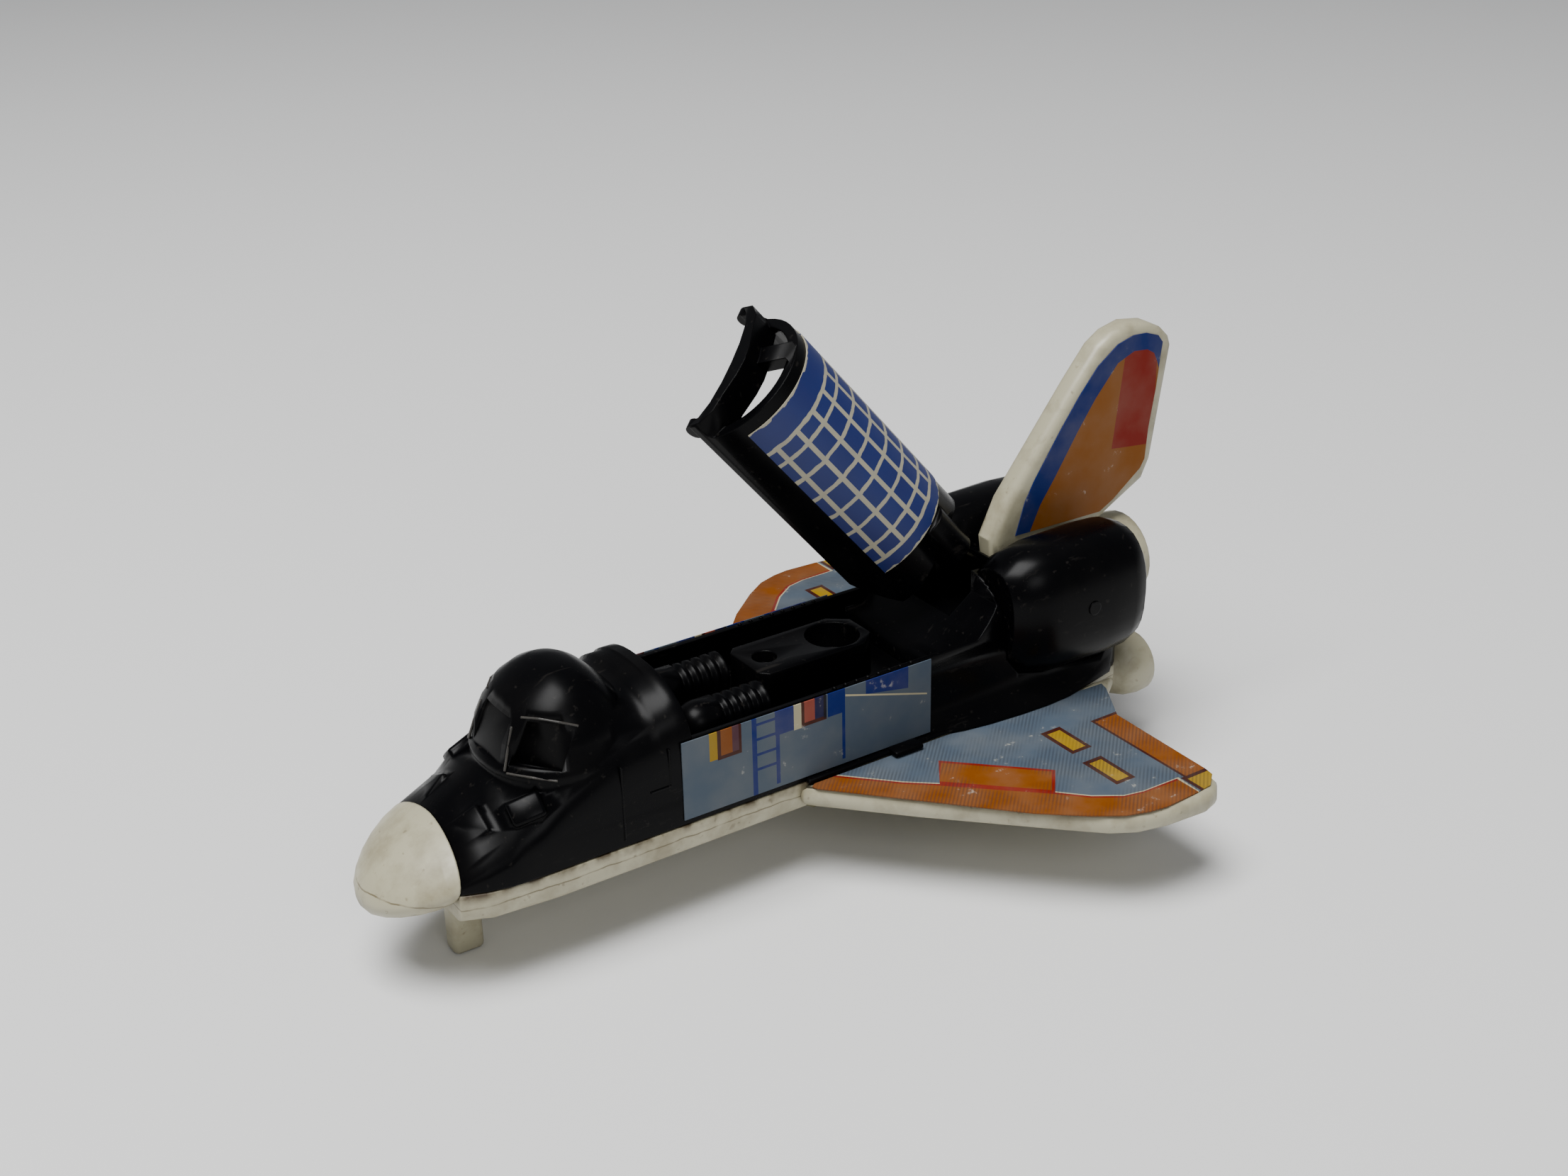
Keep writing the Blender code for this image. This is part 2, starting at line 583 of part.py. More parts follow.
make_gear("nose_gear", 39.2, 0.0, 3.2, 2.4)
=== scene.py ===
import json
import math

import bmesh
import bpy
from mathutils import Matrix, Vector

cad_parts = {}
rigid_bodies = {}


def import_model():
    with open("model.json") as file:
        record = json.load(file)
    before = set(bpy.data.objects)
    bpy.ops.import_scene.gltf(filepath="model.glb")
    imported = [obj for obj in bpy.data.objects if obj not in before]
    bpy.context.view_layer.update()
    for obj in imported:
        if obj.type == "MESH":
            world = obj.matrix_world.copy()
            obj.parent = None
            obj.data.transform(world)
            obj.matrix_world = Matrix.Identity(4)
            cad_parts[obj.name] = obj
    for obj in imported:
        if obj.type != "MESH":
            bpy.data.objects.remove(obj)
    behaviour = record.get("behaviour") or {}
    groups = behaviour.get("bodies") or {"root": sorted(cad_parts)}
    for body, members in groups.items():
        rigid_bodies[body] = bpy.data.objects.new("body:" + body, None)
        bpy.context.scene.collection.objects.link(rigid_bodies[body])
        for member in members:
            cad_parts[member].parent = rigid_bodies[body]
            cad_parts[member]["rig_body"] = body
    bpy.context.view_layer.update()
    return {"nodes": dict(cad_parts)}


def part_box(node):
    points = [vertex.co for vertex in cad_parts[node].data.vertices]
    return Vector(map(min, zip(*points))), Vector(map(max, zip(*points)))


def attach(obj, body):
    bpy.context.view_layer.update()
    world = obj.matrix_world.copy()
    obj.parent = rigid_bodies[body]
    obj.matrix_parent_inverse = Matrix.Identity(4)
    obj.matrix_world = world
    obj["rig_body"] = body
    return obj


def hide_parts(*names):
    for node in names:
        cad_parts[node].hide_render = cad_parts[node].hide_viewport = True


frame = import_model()
mm = 0.001  # sizes below are in millimetres, +X to the nose, +Y to port, +Z up
sides = {"port": 1, "starboard": -1}
print("frame loaded:", len(frame["nodes"]), "nodes")


def hexToLinear(code):
    channels = [int(code[i:i + 2], 16) / 255 for i in (1, 3, 5)]
    linear = [c / 12.92 if c <= 0.04045 else ((c + 0.055) / 1.055) ** 2.4 for c in channels]
    return (*linear, 1.0)


def newMaterial(name):
    material = bpy.data.materials.new(name)
    material.use_nodes = True
    material.node_tree.nodes.clear()
    return material, material.node_tree


# An input is a plain value, a hex colour, another node's socket, or a node, which stands for its first
# output in use. A Mix node takes its share at input 0 and its two colours, under and over, at 6 and 7.
def addNode(tree, kind, inputs=None, **settings):
    node = tree.nodes.new(kind)
    for name, value in settings.items():
        setattr(node, name, value)
    for socket, value in (inputs or {}).items():
        if isinstance(value, bpy.types.Node):
            value = [output for output in value.outputs if output.enabled][0]
        if isinstance(value, bpy.types.NodeSocket):
            tree.links.new(value, node.inputs[socket])
        else:
            node.inputs[socket].default_value = hexToLinear(value) if isinstance(value, str) else value
    return node


# Injection-moulded polystyrene: one colour right through, with the gloss of a polished mould and edges
# that the mould leaves a little round. Hands have rubbed it dull in places, scratched it finely and left
# smudges and specks of dirt. Where the mould's halves met, a flash line holds a thin broken line of grime.
# A darker colour comes in patches towards one height: a brown stain where the belly meets the hull, and
# painted shade on the underside of the nose cone.
def mouldedStyrene(name, finish):
    material, tree = newMaterial(name)
    where = addNode(tree, "ShaderNodeTexCoord").outputs["Object"]

    smudge = addNode(tree, "ShaderNodeTexNoise", {
        "Vector": where, "Scale": 1 / (finish["smudge"] * mm), "Detail": 5.0, "Roughness": 0.6})
    smudged = addNode(tree, "ShaderNodeMapRange", {
        "Value": smudge, "From Min": finish["smudgeFrom"], "From Max": 0.75, "To Max": finish["smudgeShare"]})
    colour = addNode(tree, "ShaderNodeMix", {
        0: smudged, 6: finish["colour"], 7: finish["dirt"]}, data_type="RGBA")

    speck = addNode(tree, "ShaderNodeTexNoise", {
        "Vector": where, "Scale": 1 / (finish["speck"] * mm), "Detail": 3.0})
    specked = addNode(tree, "ShaderNodeMapRange", {
        "Value": speck, "From Min": 0.66, "From Max": 0.74, "To Max": finish["speckShare"]})
    colour = addNode(tree, "ShaderNodeMix", {
        0: specked, 6: colour, 7: finish["speckColour"]}, data_type="RGBA")

    stretched = addNode(tree, "ShaderNodeMapping", {
        "Vector": where, "Scale": finish["scratchStretch"], "Rotation": finish["scratchTurn"]})
    scratch = addNode(tree, "ShaderNodeTexNoise", {
        "Vector": stretched, "Scale": 1 / (finish["scratch"] * mm), "Detail": 4.0, "Roughness": 0.7})
    scratched = addNode(tree, "ShaderNodeMapRange", {
        "Value": scratch, "From Min": 0.63, "From Max": 0.70, "To Max": finish["scratchShare"]})
    colour = addNode(tree, "ShaderNodeMix", {
        0: scratched, 6: colour, 7: finish["speckColour"]}, data_type="RGBA")

    if "flashHeight" in finish:
        place = addNode(tree, "ShaderNodeSeparateXYZ", {0: where})
        waves = addNode(tree, "ShaderNodeTexNoise", {
            "Vector": where, "Scale": 1 / (finish["wave"] * mm), "Detail": 3.0})
        wander = addNode(tree, "ShaderNodeMapRange", {
            "Value": waves, "From Min": 0.3, "From Max": 0.7,
            "To Min": -finish["wander"] * mm, "To Max": finish["wander"] * mm})
        height = addNode(tree, "ShaderNodeMath", {0: place.outputs["Z"], 1: wander}, operation="ADD")

        offset = addNode(tree, "ShaderNodeMath", {
            0: height, 1: finish["flashHeight"] * mm}, operation="SUBTRACT")
        distance = addNode(tree, "ShaderNodeMath", {0: offset}, operation="ABSOLUTE")
        line = addNode(tree, "ShaderNodeMath", {
            0: distance, 1: finish["lineReach"] * mm}, operation="LESS_THAN")
        gaps = addNode(tree, "ShaderNodeTexNoise", {
            "Vector": where, "Scale": 1 / (finish["lineGap"] * mm), "Detail": 3.0})
        broken = addNode(tree, "ShaderNodeMapRange", {
            "Value": gaps, "From Min": 0.35, "From Max": 0.55, "To Min": 0.2, "To Max": 0.85})
        share = addNode(tree, "ShaderNodeMath", {0: line, 1: broken}, operation="MULTIPLY")
        colour = addNode(tree, "ShaderNodeMix", {
            0: share, 6: colour, 7: finish["speckColour"]}, data_type="RGBA")

        # Darker in patches towards one height: a real stain on the belly, painted shade on the nose's
        # underside.
        paleHeight, darkHeight = finish["grimeAndShadeHeights"]
        heightShare = addNode(tree, "ShaderNodeMapRange", {
            "Value": height, "From Min": paleHeight * mm, "From Max": darkHeight * mm})
        spread = addNode(tree, "ShaderNodeTexNoise", {
            "Vector": where, "Scale": 1 / (finish["grimeAndShadePatch"] * mm), "Detail": 3.0})
        patchy = addNode(tree, "ShaderNodeMapRange", {
            "Value": spread, "From Min": 0.4, "From Max": 0.62, "To Min": 0.25, "To Max": 1.0})
        share = addNode(tree, "ShaderNodeMath", {0: heightShare, 1: patchy}, operation="MULTIPLY")
        colour = addNode(tree, "ShaderNodeMix", {
            0: share, 6: colour, 7: finish["grimeAndShadeColour"]}, data_type="RGBA")

    polished, rubbed = finish["gloss"]
    gloss = addNode(tree, "ShaderNodeMapRange", {
        "Value": smudge, "From Min": 0.3, "From Max": 0.7, "To Min": polished, "To Max": rubbed})
    rounded = addNode(tree, "ShaderNodeBevel", {"Radius": finish["edge"] * mm}, samples=6)
    grain = addNode(tree, "ShaderNodeTexNoise", {
        "Vector": where, "Scale": 1 / (finish["grain"] * mm), "Detail": 2.0})
    bump = addNode(tree, "ShaderNodeBump", {
        "Height": grain, "Normal": rounded,
        "Strength": finish["bump"], "Distance": finish["grainDepth"] * mm})
    shader = addNode(tree, "ShaderNodeBsdfPrincipled", {
        "Base Color": colour, "Roughness": gloss, "Normal": bump,
        "IOR": finish["ior"], "Specular IOR Level": finish["shine"]})
    addNode(tree, "ShaderNodeOutputMaterial", {"Surface": shader})
    return material


# A mark has its size in millimetres, its share of what it covers, and its colour. The gloss is a roughness,
# from polished to rubbed.
everyPlastic = {
    "scratchStretch": (0.12, 1.0, 0.5), "scratchTurn": (0.3, 0.2, 0.5), "grainDepth": 0.02, "ior": 1.59,
    "wave": 3.0, "wander": 0.12, "lineReach": 0.07, "lineGap": 2.0, "grimeAndShadePatch": 1.8,
}
plasticFinish = {
    "black": {
        **everyPlastic, "colour": "#030304", "dirt": "#080707",
        "smudge": 9.0, "smudgeFrom": 0.5, "smudgeShare": 0.8,
        "speck": 0.7, "speckShare": 0.35, "speckColour": "#2c2926", "scratch": 1.2, "scratchShare": 0.3,
        "gloss": (0.22, 0.36), "shine": 0.06, "grain": 0.9, "bump": 0.12, "edge": 0.2,
    },
    "white": {
        **everyPlastic, "colour": "#a39e85", "dirt": "#6f6549",
        "smudge": 4.0, "smudgeFrom": 0.45, "smudgeShare": 0.7,
        "speck": 0.8, "speckShare": 0.5, "speckColour": "#5f5438", "scratch": 1.6, "scratchShare": 0.2,
        "gloss": (0.36, 0.5), "shine": 0.5, "grain": 0.7, "bump": 0.25, "edge": 0.25,
    },
}
# Painted lighter grey: partly rubbed wear, partly a painted highlight along the window frames' edges.
plasticFinish["scuffedAndHighlightBlack"] = {  # raised lines, rubbed grey
    **plasticFinish["black"], "colour": "#35322e", "dirt": "#12110f", "shine": 0.3,
}
# The nose cone is painted darker towards its underside: painted shade.
plasticFinish["whiteNose"] = {  # duller towards its underside
    **plasticFinish["white"], "flashHeight": 10.6, "grimeAndShadeHeights": (8.6, 5.5), "grimeAndShadeColour": "#7c7256",
}
plasticFinish["whiteBelly"] = {  # stained along its joint with the black hull
    **plasticFinish["white"], "flashHeight": 9.95, "grimeAndShadeHeights": (10.3, 11.15), "grimeAndShadeColour": "#3d3018",
}
plastic = {key: mouldedStyrene(key + "Styrene", finish) for key, finish in plasticFinish.items()}


# Printed self-adhesive paper with a varnish: flat inks, faded in patches and rubbed through to the paper
# in short scuffs. On the wings it has taken up fine ribs that run square to the leading edge, and their
# crests are painted darker as painted shade.
def printedPaper(name, ink, finish):
    material, tree = newMaterial(name)
    where = addNode(tree, "ShaderNodeTexCoord").outputs["Object"]

    fade = addNode(tree, "ShaderNodeTexNoise", {
        "Vector": where, "Scale": 1 / (finish["fade"] * mm), "Detail": 4.0})
    faded = addNode(tree, "ShaderNodeMapRange", {
        "Value": fade, "From Min": 0.35, "From Max": 0.75, "To Max": finish["fadeShare"]})
    colour = addNode(tree, "ShaderNodeMix", {0: faded, 6: ink, 7: finish["grime"]}, data_type="RGBA")

    scuff = addNode(tree, "ShaderNodeTexNoise", {
        "Vector": where, "Scale": 1 / (finish["scuff"] * mm), "Detail": 6.0, "Roughness": 0.65})
    scuffed = addNode(tree, "ShaderNodeMapRange", {
        "Value": scuff, "From Min": 0.64, "From Max": 0.70, "To Max": finish["scuffShare"]})
    colour = addNode(tree, "ShaderNodeMix", {0: scuffed, 6: colour, 7: finish["paper"]}, data_type="RGBA")

    # The leading edge is swept by 45 degrees, so the ribs are counted along y - x, the same on both wings.
    place = addNode(tree, "ShaderNodeSeparateXYZ", {0: where})
    sideways = addNode(tree, "ShaderNodeMath", {0: place.outputs["Y"]}, operation="ABSOLUTE")
    across = addNode(tree, "ShaderNodeMath", {0: sideways, 1: place.outputs["X"]}, operation="SUBTRACT")
    count = addNode(tree, "ShaderNodeMath", {
        0: across, 1: 1 / (math.sqrt(2) * finish["rib"] * mm)}, operation="MULTIPLY")
    phase = addNode(tree, "ShaderNodeMath", {0: count, 1: 2 * math.pi}, operation="MULTIPLY")
    ribs = addNode(tree, "ShaderNodeMath", {0: phase}, operation="SINE")
    onWing = addNode(tree, "ShaderNodeMath", {
        0: sideways, 1: finish["ribsFrom"] * mm}, operation="GREATER_THAN")
    patches = addNode(tree, "ShaderNodeTexNoise", {
        "Vector": where, "Scale": 1 / (finish["ribPatch"] * mm), "Detail": 2.0})
    patchy = addNode(tree, "ShaderNodeMapRange", {"Value": patches, "From Min": 0.38, "From Max": 0.55})
    ribbed = addNode(tree, "ShaderNodeMath", {0: onWing, 1: patchy}, operation="MULTIPLY")
    ribShare = addNode(tree, "ShaderNodeMath", {0: ribbed, 1: finish["ribShare"]}, operation="MULTIPLY")
    # The rib crests are painted darker: painted shade on the relief that the bump gives.
    crests = addNode(tree, "ShaderNodeMapRange", {"Value": ribs, "From Min": -1.0, "From Max": 1.0})
    shade = addNode(tree, "ShaderNodeMath", {0: ribShare, 1: crests}, operation="MULTIPLY")
    colour = addNode(tree, "ShaderNodeMix", {0: shade, 6: colour, 7: finish["ribShade"]}, data_type="RGBA")

    ribHeight = addNode(tree, "ShaderNodeMath", {0: ribs, 1: ribShare}, operation="MULTIPLY")
    relief = addNode(tree, "ShaderNodeMath", {0: scuff, 1: ribHeight}, operation="ADD")
    bump = addNode(tree, "ShaderNodeBump", {
        "Height": relief, "Strength": finish["bump"], "Distance": finish["reliefDepth"] * mm})
    shader = addNode(tree, "ShaderNodeBsdfPrincipled", {
        "Base Color": colour, "Normal": bump, "Roughness": finish["gloss"],
        "IOR": finish["ior"], "Specular IOR Level": finish["shine"]})
    addNode(tree, "ShaderNodeOutputMaterial", {"Surface": shader})
    return material


labelFinish = {
    "fade": 4.0, "fadeShare": 0.15, "grime": "#8a8474", "scuff": 2.0, "scuffShare": 0.3, "paper": "#c9c6b8",
    "rib": 0.37, "ribsFrom": 9.5, "ribPatch": 6.0, "ribShare": 0.4, "ribShade": "#1f2126",
    "gloss": 0.5, "shine": 0.15, "ior": 1.5, "bump": 0.25, "reliefDepth": 0.02,
}
inks = {
    "grey": "#434e5a", "blue": "#021a58", "orange": "#6f3900", "brown": "#330a02", "red": "#701000",
    "yellow": "#8a6c00", "ochre": "#764200", "pink": "#7d3a2e", "indigo": "#0e1038", "mauve": "#452830",
    "navy": "#060614", "cream": "#a0987c",
}
printed = {key: printedPaper(key + "InkOnPaper", ink, labelFinish) for key, ink in inks.items()}
print("materials made")

facets = {"weld": 0.002, "flatUpTo": 0.5, "smoothUpTo": 35.0}  # the last two in degrees


def finishPiece(name, bm, materials, body, replaced=()):
    mesh = bpy.data.meshes.new(name)
    bm.to_mesh(mesh)
    bm.free()
    piece = bpy.data.objects.new(name, mesh)
    bpy.context.scene.collection.objects.link(piece)
    for material in materials:
        mesh.materials.append(material)
    mesh.shade_smooth()
    mesh.set_sharp_from_angle(angle=math.radians(facets["smoothUpTo"]))
    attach(piece, body)
    if replaced:
        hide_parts(*replaced)


# A moulding as the frame gives it, with its facets joined. Where its edges are softened as a mould leaves
# them, "soften" is in millimetres, for corners sharper than "over" degrees.
def softenedMoulding(node, material, soften=0.0, over=60):
    bm = bmesh.new()
    bm.from_mesh(frame["nodes"][node].data)
    bmesh.ops.remove_doubles(bm, verts=bm.verts, dist=facets["weld"] * mm)
    flat = math.radians(facets["flatUpTo"])
    bmesh.ops.dissolve_limit(bm, angle_limit=flat, verts=bm.verts, edges=bm.edges)
    if soften > 0:
        corners = [e for e in bm.edges if e.is_manifold and e.calc_face_angle(0) > math.radians(over)]
        bmesh.ops.bevel(bm, geom=corners, offset=soften * mm, offset_type="OFFSET", affect="EDGES",
                        segments=2, profile=0.5, material=-1, clamp_overlap=True)
    body = frame["nodes"][node]["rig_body"]
    finishPiece(node + "Moulding", bm, [material], body, [node])


mouldings = {
    "upper_hull": {"finish": "black"},
    "bay_block": {"finish": "black", "soften": 0.25, "over": 50},
    "bay_door": {"finish": "black"},
    "door_pivot": {"finish": "black"},
    "nose_cone": {"finish": "whiteNose"},
    "belly": {"finish": "whiteBelly", "soften": 0.15},
    "tail_fin": {"finish": "white"},
    "nose_gear": {"finish": "white"},
    "nozzle_top": {"finish": "white", "soften": 0.15},
}
for sideName in sides:
    mouldings["bay_tank_" + sideName] = {"finish": "black"}
    mouldings["engine_pod_" + sideName] = {"finish": "black"}
    mouldings["wing_" + sideName] = {"finish": "white"}
    mouldings["nozzle_" + sideName] = {"finish": "white", "soften": 0.15}
    mouldings["main_gear_" + sideName] = {"finish": "white"}
for nodeName, moulding in mouldings.items():
    material = plastic[moulding["finish"]]
    softenedMoulding(nodeName, material, moulding.get("soften", 0.0), moulding.get("over", 60))
print("mouldings made")


def isInside(outline, a, b):
    inside = False
    for (a0, b0), (a1, b1) in zip(outline, outline[1:] + outline[:1]):
        if (b0 > b) != (b1 > b) and a < (a1 - a0) * (b - b0) / (b1 - b0) + a0:
            inside = not inside
    return inside


cutting = {"tolerance": 0.001, "flatUpTo": 1.0}


# One sheet cut along the borders of its printed areas. A later area covers an earlier one.
def printedSheet(name, sheet, place, body, replaced):
    bm = bmesh.new()
    flat = [Vector((a * mm, b * mm, 0)) for a, b in sheet["outline"]]
    bm.faces.new([bm.verts.new(corner) for corner in flat])
    for ink, area in sheet["areas"]:
        for (a0, b0), (a1, b1) in zip(area, area[1:] + area[:1]):
            across = Vector((b1 - b0, a0 - a1, 0)).normalized()
            bmesh.ops.bisect_plane(bm, geom=bm.verts[:] + bm.edges[:] + bm.faces[:],
                                   dist=cutting["tolerance"] * mm,
                                   plane_co=(a0 * mm, b0 * mm, 0), plane_no=across)
    used = [sheet["ground"]] + sorted({ink for ink, area in sheet["areas"]} - {sheet["ground"]})
    for face in bm.faces:
        middle = face.calc_center_median() / mm
        for ink, area in sheet["areas"]:
            if isInside(area, middle.x, middle.y):
                face.material_index = used.index(ink)
    bmesh.ops.dissolve_limit(bm, angle_limit=math.radians(cutting["flatUpTo"]), verts=bm.verts,
                             edges=bm.edges, delimit={"MATERIAL"})
    grown = bmesh.ops.extrude_face_region(bm, geom=bm.faces[:])
    raised = [item for item in grown["geom"] if isinstance(item, bmesh.types.BMVert)]
    bmesh.ops.translate(bm, vec=(0, 0, sheet["thickness"] * mm), verts=raised)
    bmesh.ops.transform(bm, matrix=place, verts=bm.verts)
    bmesh.ops.recalc_face_normals(bm, faces=bm.faces)
    finishPiece(name, bm, [printed[ink] for ink in used], body, replaced)


# Stands a sheet drawn in x and z where a label's solid has its inner face.
def uprightAt(node, side):
    low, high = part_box(node)
    near = min(abs(low.y), abs(high.y))
    return Matrix(((1, 0, 0, 0), (0, 0, side, side * near), (0, 1, 0, 0), (0, 0, 0, 1)))


def bar(a0, b0, a1, b1):
    return [(a0, b0), (a1, b0), (a1, b1), (a0, b1)]


# Side and fin labels are drawn in x and z, and a wing label in x and the distance from the keel.
sideLabel = {
    "outline": [(19.3, 11.9), (19.3, 20.4), (-10.4, 20.4), (-10.4, 11.9)],
    "ground": "grey", "thickness": 0.12,
    "areas": [
        # a small window beside a yellow post
        ("yellow", bar(15.35, 17.4, 16.25, 20.5)),
        ("brown", bar(12.6, 17.25, 15.35, 20.5)), ("orange", bar(13.65, 17.65, 14.95, 20.5)),
        ("mauve", bar(12.9, 17.65, 13.65, 20.5)),
        # a ladder
        ("blue", bar(10.85, 11.8, 11.4, 20.5)), ("blue", bar(8.2, 12.3, 8.65, 18.0)),
        ("blue", bar(8.4, 19.55, 11.0, 19.85)), ("blue", bar(8.4, 17.9, 11.0, 18.2)),
        ("blue", bar(8.3, 16.2, 11.0, 16.5)), ("blue", bar(8.3, 14.55, 11.0, 14.85)),
        # a larger window between blue panels
        ("blue", bar(6.5, 17.75, 8.7, 20.5)), ("cream", bar(5.6, 17.65, 6.5, 20.5)),
        ("brown", bar(2.6, 17.7, 5.6, 20.5)), ("pink", bar(4.0, 18.1, 5.25, 20.5)),
        ("indigo", bar(2.95, 18.1, 4.0, 20.5)), ("navy", bar(2.6, 17.9, 2.95, 20.5)),
        ("blue", bar(0.6, 17.8, 2.45, 20.5)), ("blue", bar(0.35, 12.45, 0.72, 20.5)),
        # a panel towards the tail, and a thin pale line across it
        ("blue", [(-2.2, 20.5), (-7.5, 20.5), (-7.5, 18.0), (-2.2, 18.95)]),
        ("cream", [(0.3, 19.5), (-9.9, 16.5), (-9.9, 16.68), (0.3, 19.72)]),
    ],
}

leadingBand = [(2.1, 9.8), (-2.7, 14.9), (-5.4, 17.2), (-13.8, 25.2), (-16.2, 27.8), (-18.8, 29.6),
               (-21.0, 30.1), (-25.3, 30.2)]
beyond = [(-25.3, 36.0), (6.0, 36.0), (6.0, 9.0)]  # closes an area outside the wing
paleEdge = [(a - 0.12, b - 0.12) for a, b in leadingBand[:-1]] + [(-25.6, 30.08)]
orangeEdge = [(a + 0.25, b + 0.2) for a, b in leadingBand[:-1]] + [(-25.3, 30.5)]
wingLabel = {
    "outline": [(4.6, 9.96), (5.1, 10.3), (4.9, 10.9), (-2.5, 19.2), (-9.6, 26.9), (-13.8, 30.5),
                (-16.6, 32.4), (-19.0, 33.2), (-21.0, 33.5), (-25.0, 33.3), (-27.2, 33.0), (-28.8, 31.6),
                (-29.0, 30.4), (-29.3, 17.0), (-32.3, 11.9), (-32.6, 10.8), (-12.0, 9.96)],
    "ground": "grey", "thickness": 0.12,
    "areas": [
        # the band along the leading edge, and a block behind it
        ("cream", paleEdge + beyond), ("red", leadingBand + beyond), ("orange", orangeEdge + beyond),
        ("red", [(-5.5, 17.3), (-8.2, 13.6), (-16.6, 21.9), (-13.7, 25.3)]),
        ("orange", [(-5.8, 16.9), (-8.15, 14.1), (-16.1, 21.9), (-13.8, 24.7)]),
        # the band along the trailing edge, and the corner where the two meet
        ("brown", [(-26.1, 30.6), (-26.1, 16.4), (-30.0, 16.4), (-30.0, 30.6)]),
        ("orange", [(-26.4, 30.6), (-26.4, 16.8), (-30.0, 16.8), (-30.0, 30.6)]),
        ("brown", [(-25.7, 30.35), (-30.0, 30.35), (-30.0, 36.0), (-25.7, 36.0)]),
        ("yellow", [(-26.15, 30.85), (-30.0, 30.85), (-30.0, 36.0), (-26.15, 36.0)]),
        # two yellow windows
        ("brown", bar(-22.7, 15.4, -20.1, 20.5)), ("yellow", bar(-22.25, 15.95, -20.6, 20.0)),
        ("brown", bar(-22.2, 22.4, -19.7, 27.6)), ("yellow", bar(-21.75, 22.95, -20.2, 27.1)),
    ],
}

blueEdge = [(-29.6, 26.9), (-30.9, 29.6), (-32.8, 32.3), (-35.8, 36.9), (-38.1, 40.1), (-41.1, 43.5),
            (-43.4, 44.4), (-45.3, 44.2), (-46.3, 43.6), (-46.8, 42.6)]
finLabel = {
    "outline": [(-27.6, 26.8), (-28.8, 30.5), (-30.0, 32.6), (-33.2, 37.3), (-35.8, 40.8), (-38.3, 43.7),
                (-41.0, 45.6), (-43.2, 46.2), (-45.1, 46.1), (-46.8, 45.5), (-47.5, 44.6), (-47.3, 43.2),
                (-46.9, 39.6), (-46.1, 35.0), (-45.8, 31.4), (-45.2, 30.4), (-41.4, 27.6), (-39.5, 26.6)],
    "ground": "blue", "thickness": 0.12,
    "areas": [
        ("ochre", blueEdge + [(-48.5, 38.0), (-46.0, 26.0), (-29.6, 26.0)]),
        ("red", [(-42.1, 43.9), (-43.4, 44.4), (-45.3, 44.2), (-46.3, 43.6), (-46.8, 42.6), (-46.8, 38.0),
                 (-45.9, 33.1), (-40.8, 33.7)]),
    ],
}

for sideName, side in sides.items():
    node = "side_label_" + sideName
    printedSheet("sideLabelSheet_" + sideName, sideLabel, uprightAt(node, side), "shuttle", [node])

    node = "wing_label_" + sideName
    onThisSide = {
        **wingLabel,
        "outline": [(a, side * b) for a, b in wingLabel["outline"]],
        "areas": [(ink, [(a, side * b) for a, b in area]) for ink, area in wingLabel["areas"]],
    }
    lying = Matrix.Translation((0, 0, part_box(node)[0].z))
    printedSheet("wingLabelSheet_" + sideName, onThisSide, lying, "shuttle", [node])

    node = "fin_label_" + sideName
    printedSheet("finLabelSheet_" + sideName, finLabel, uprightAt(node, side), "shuttle", [node])
print("flat labels made")


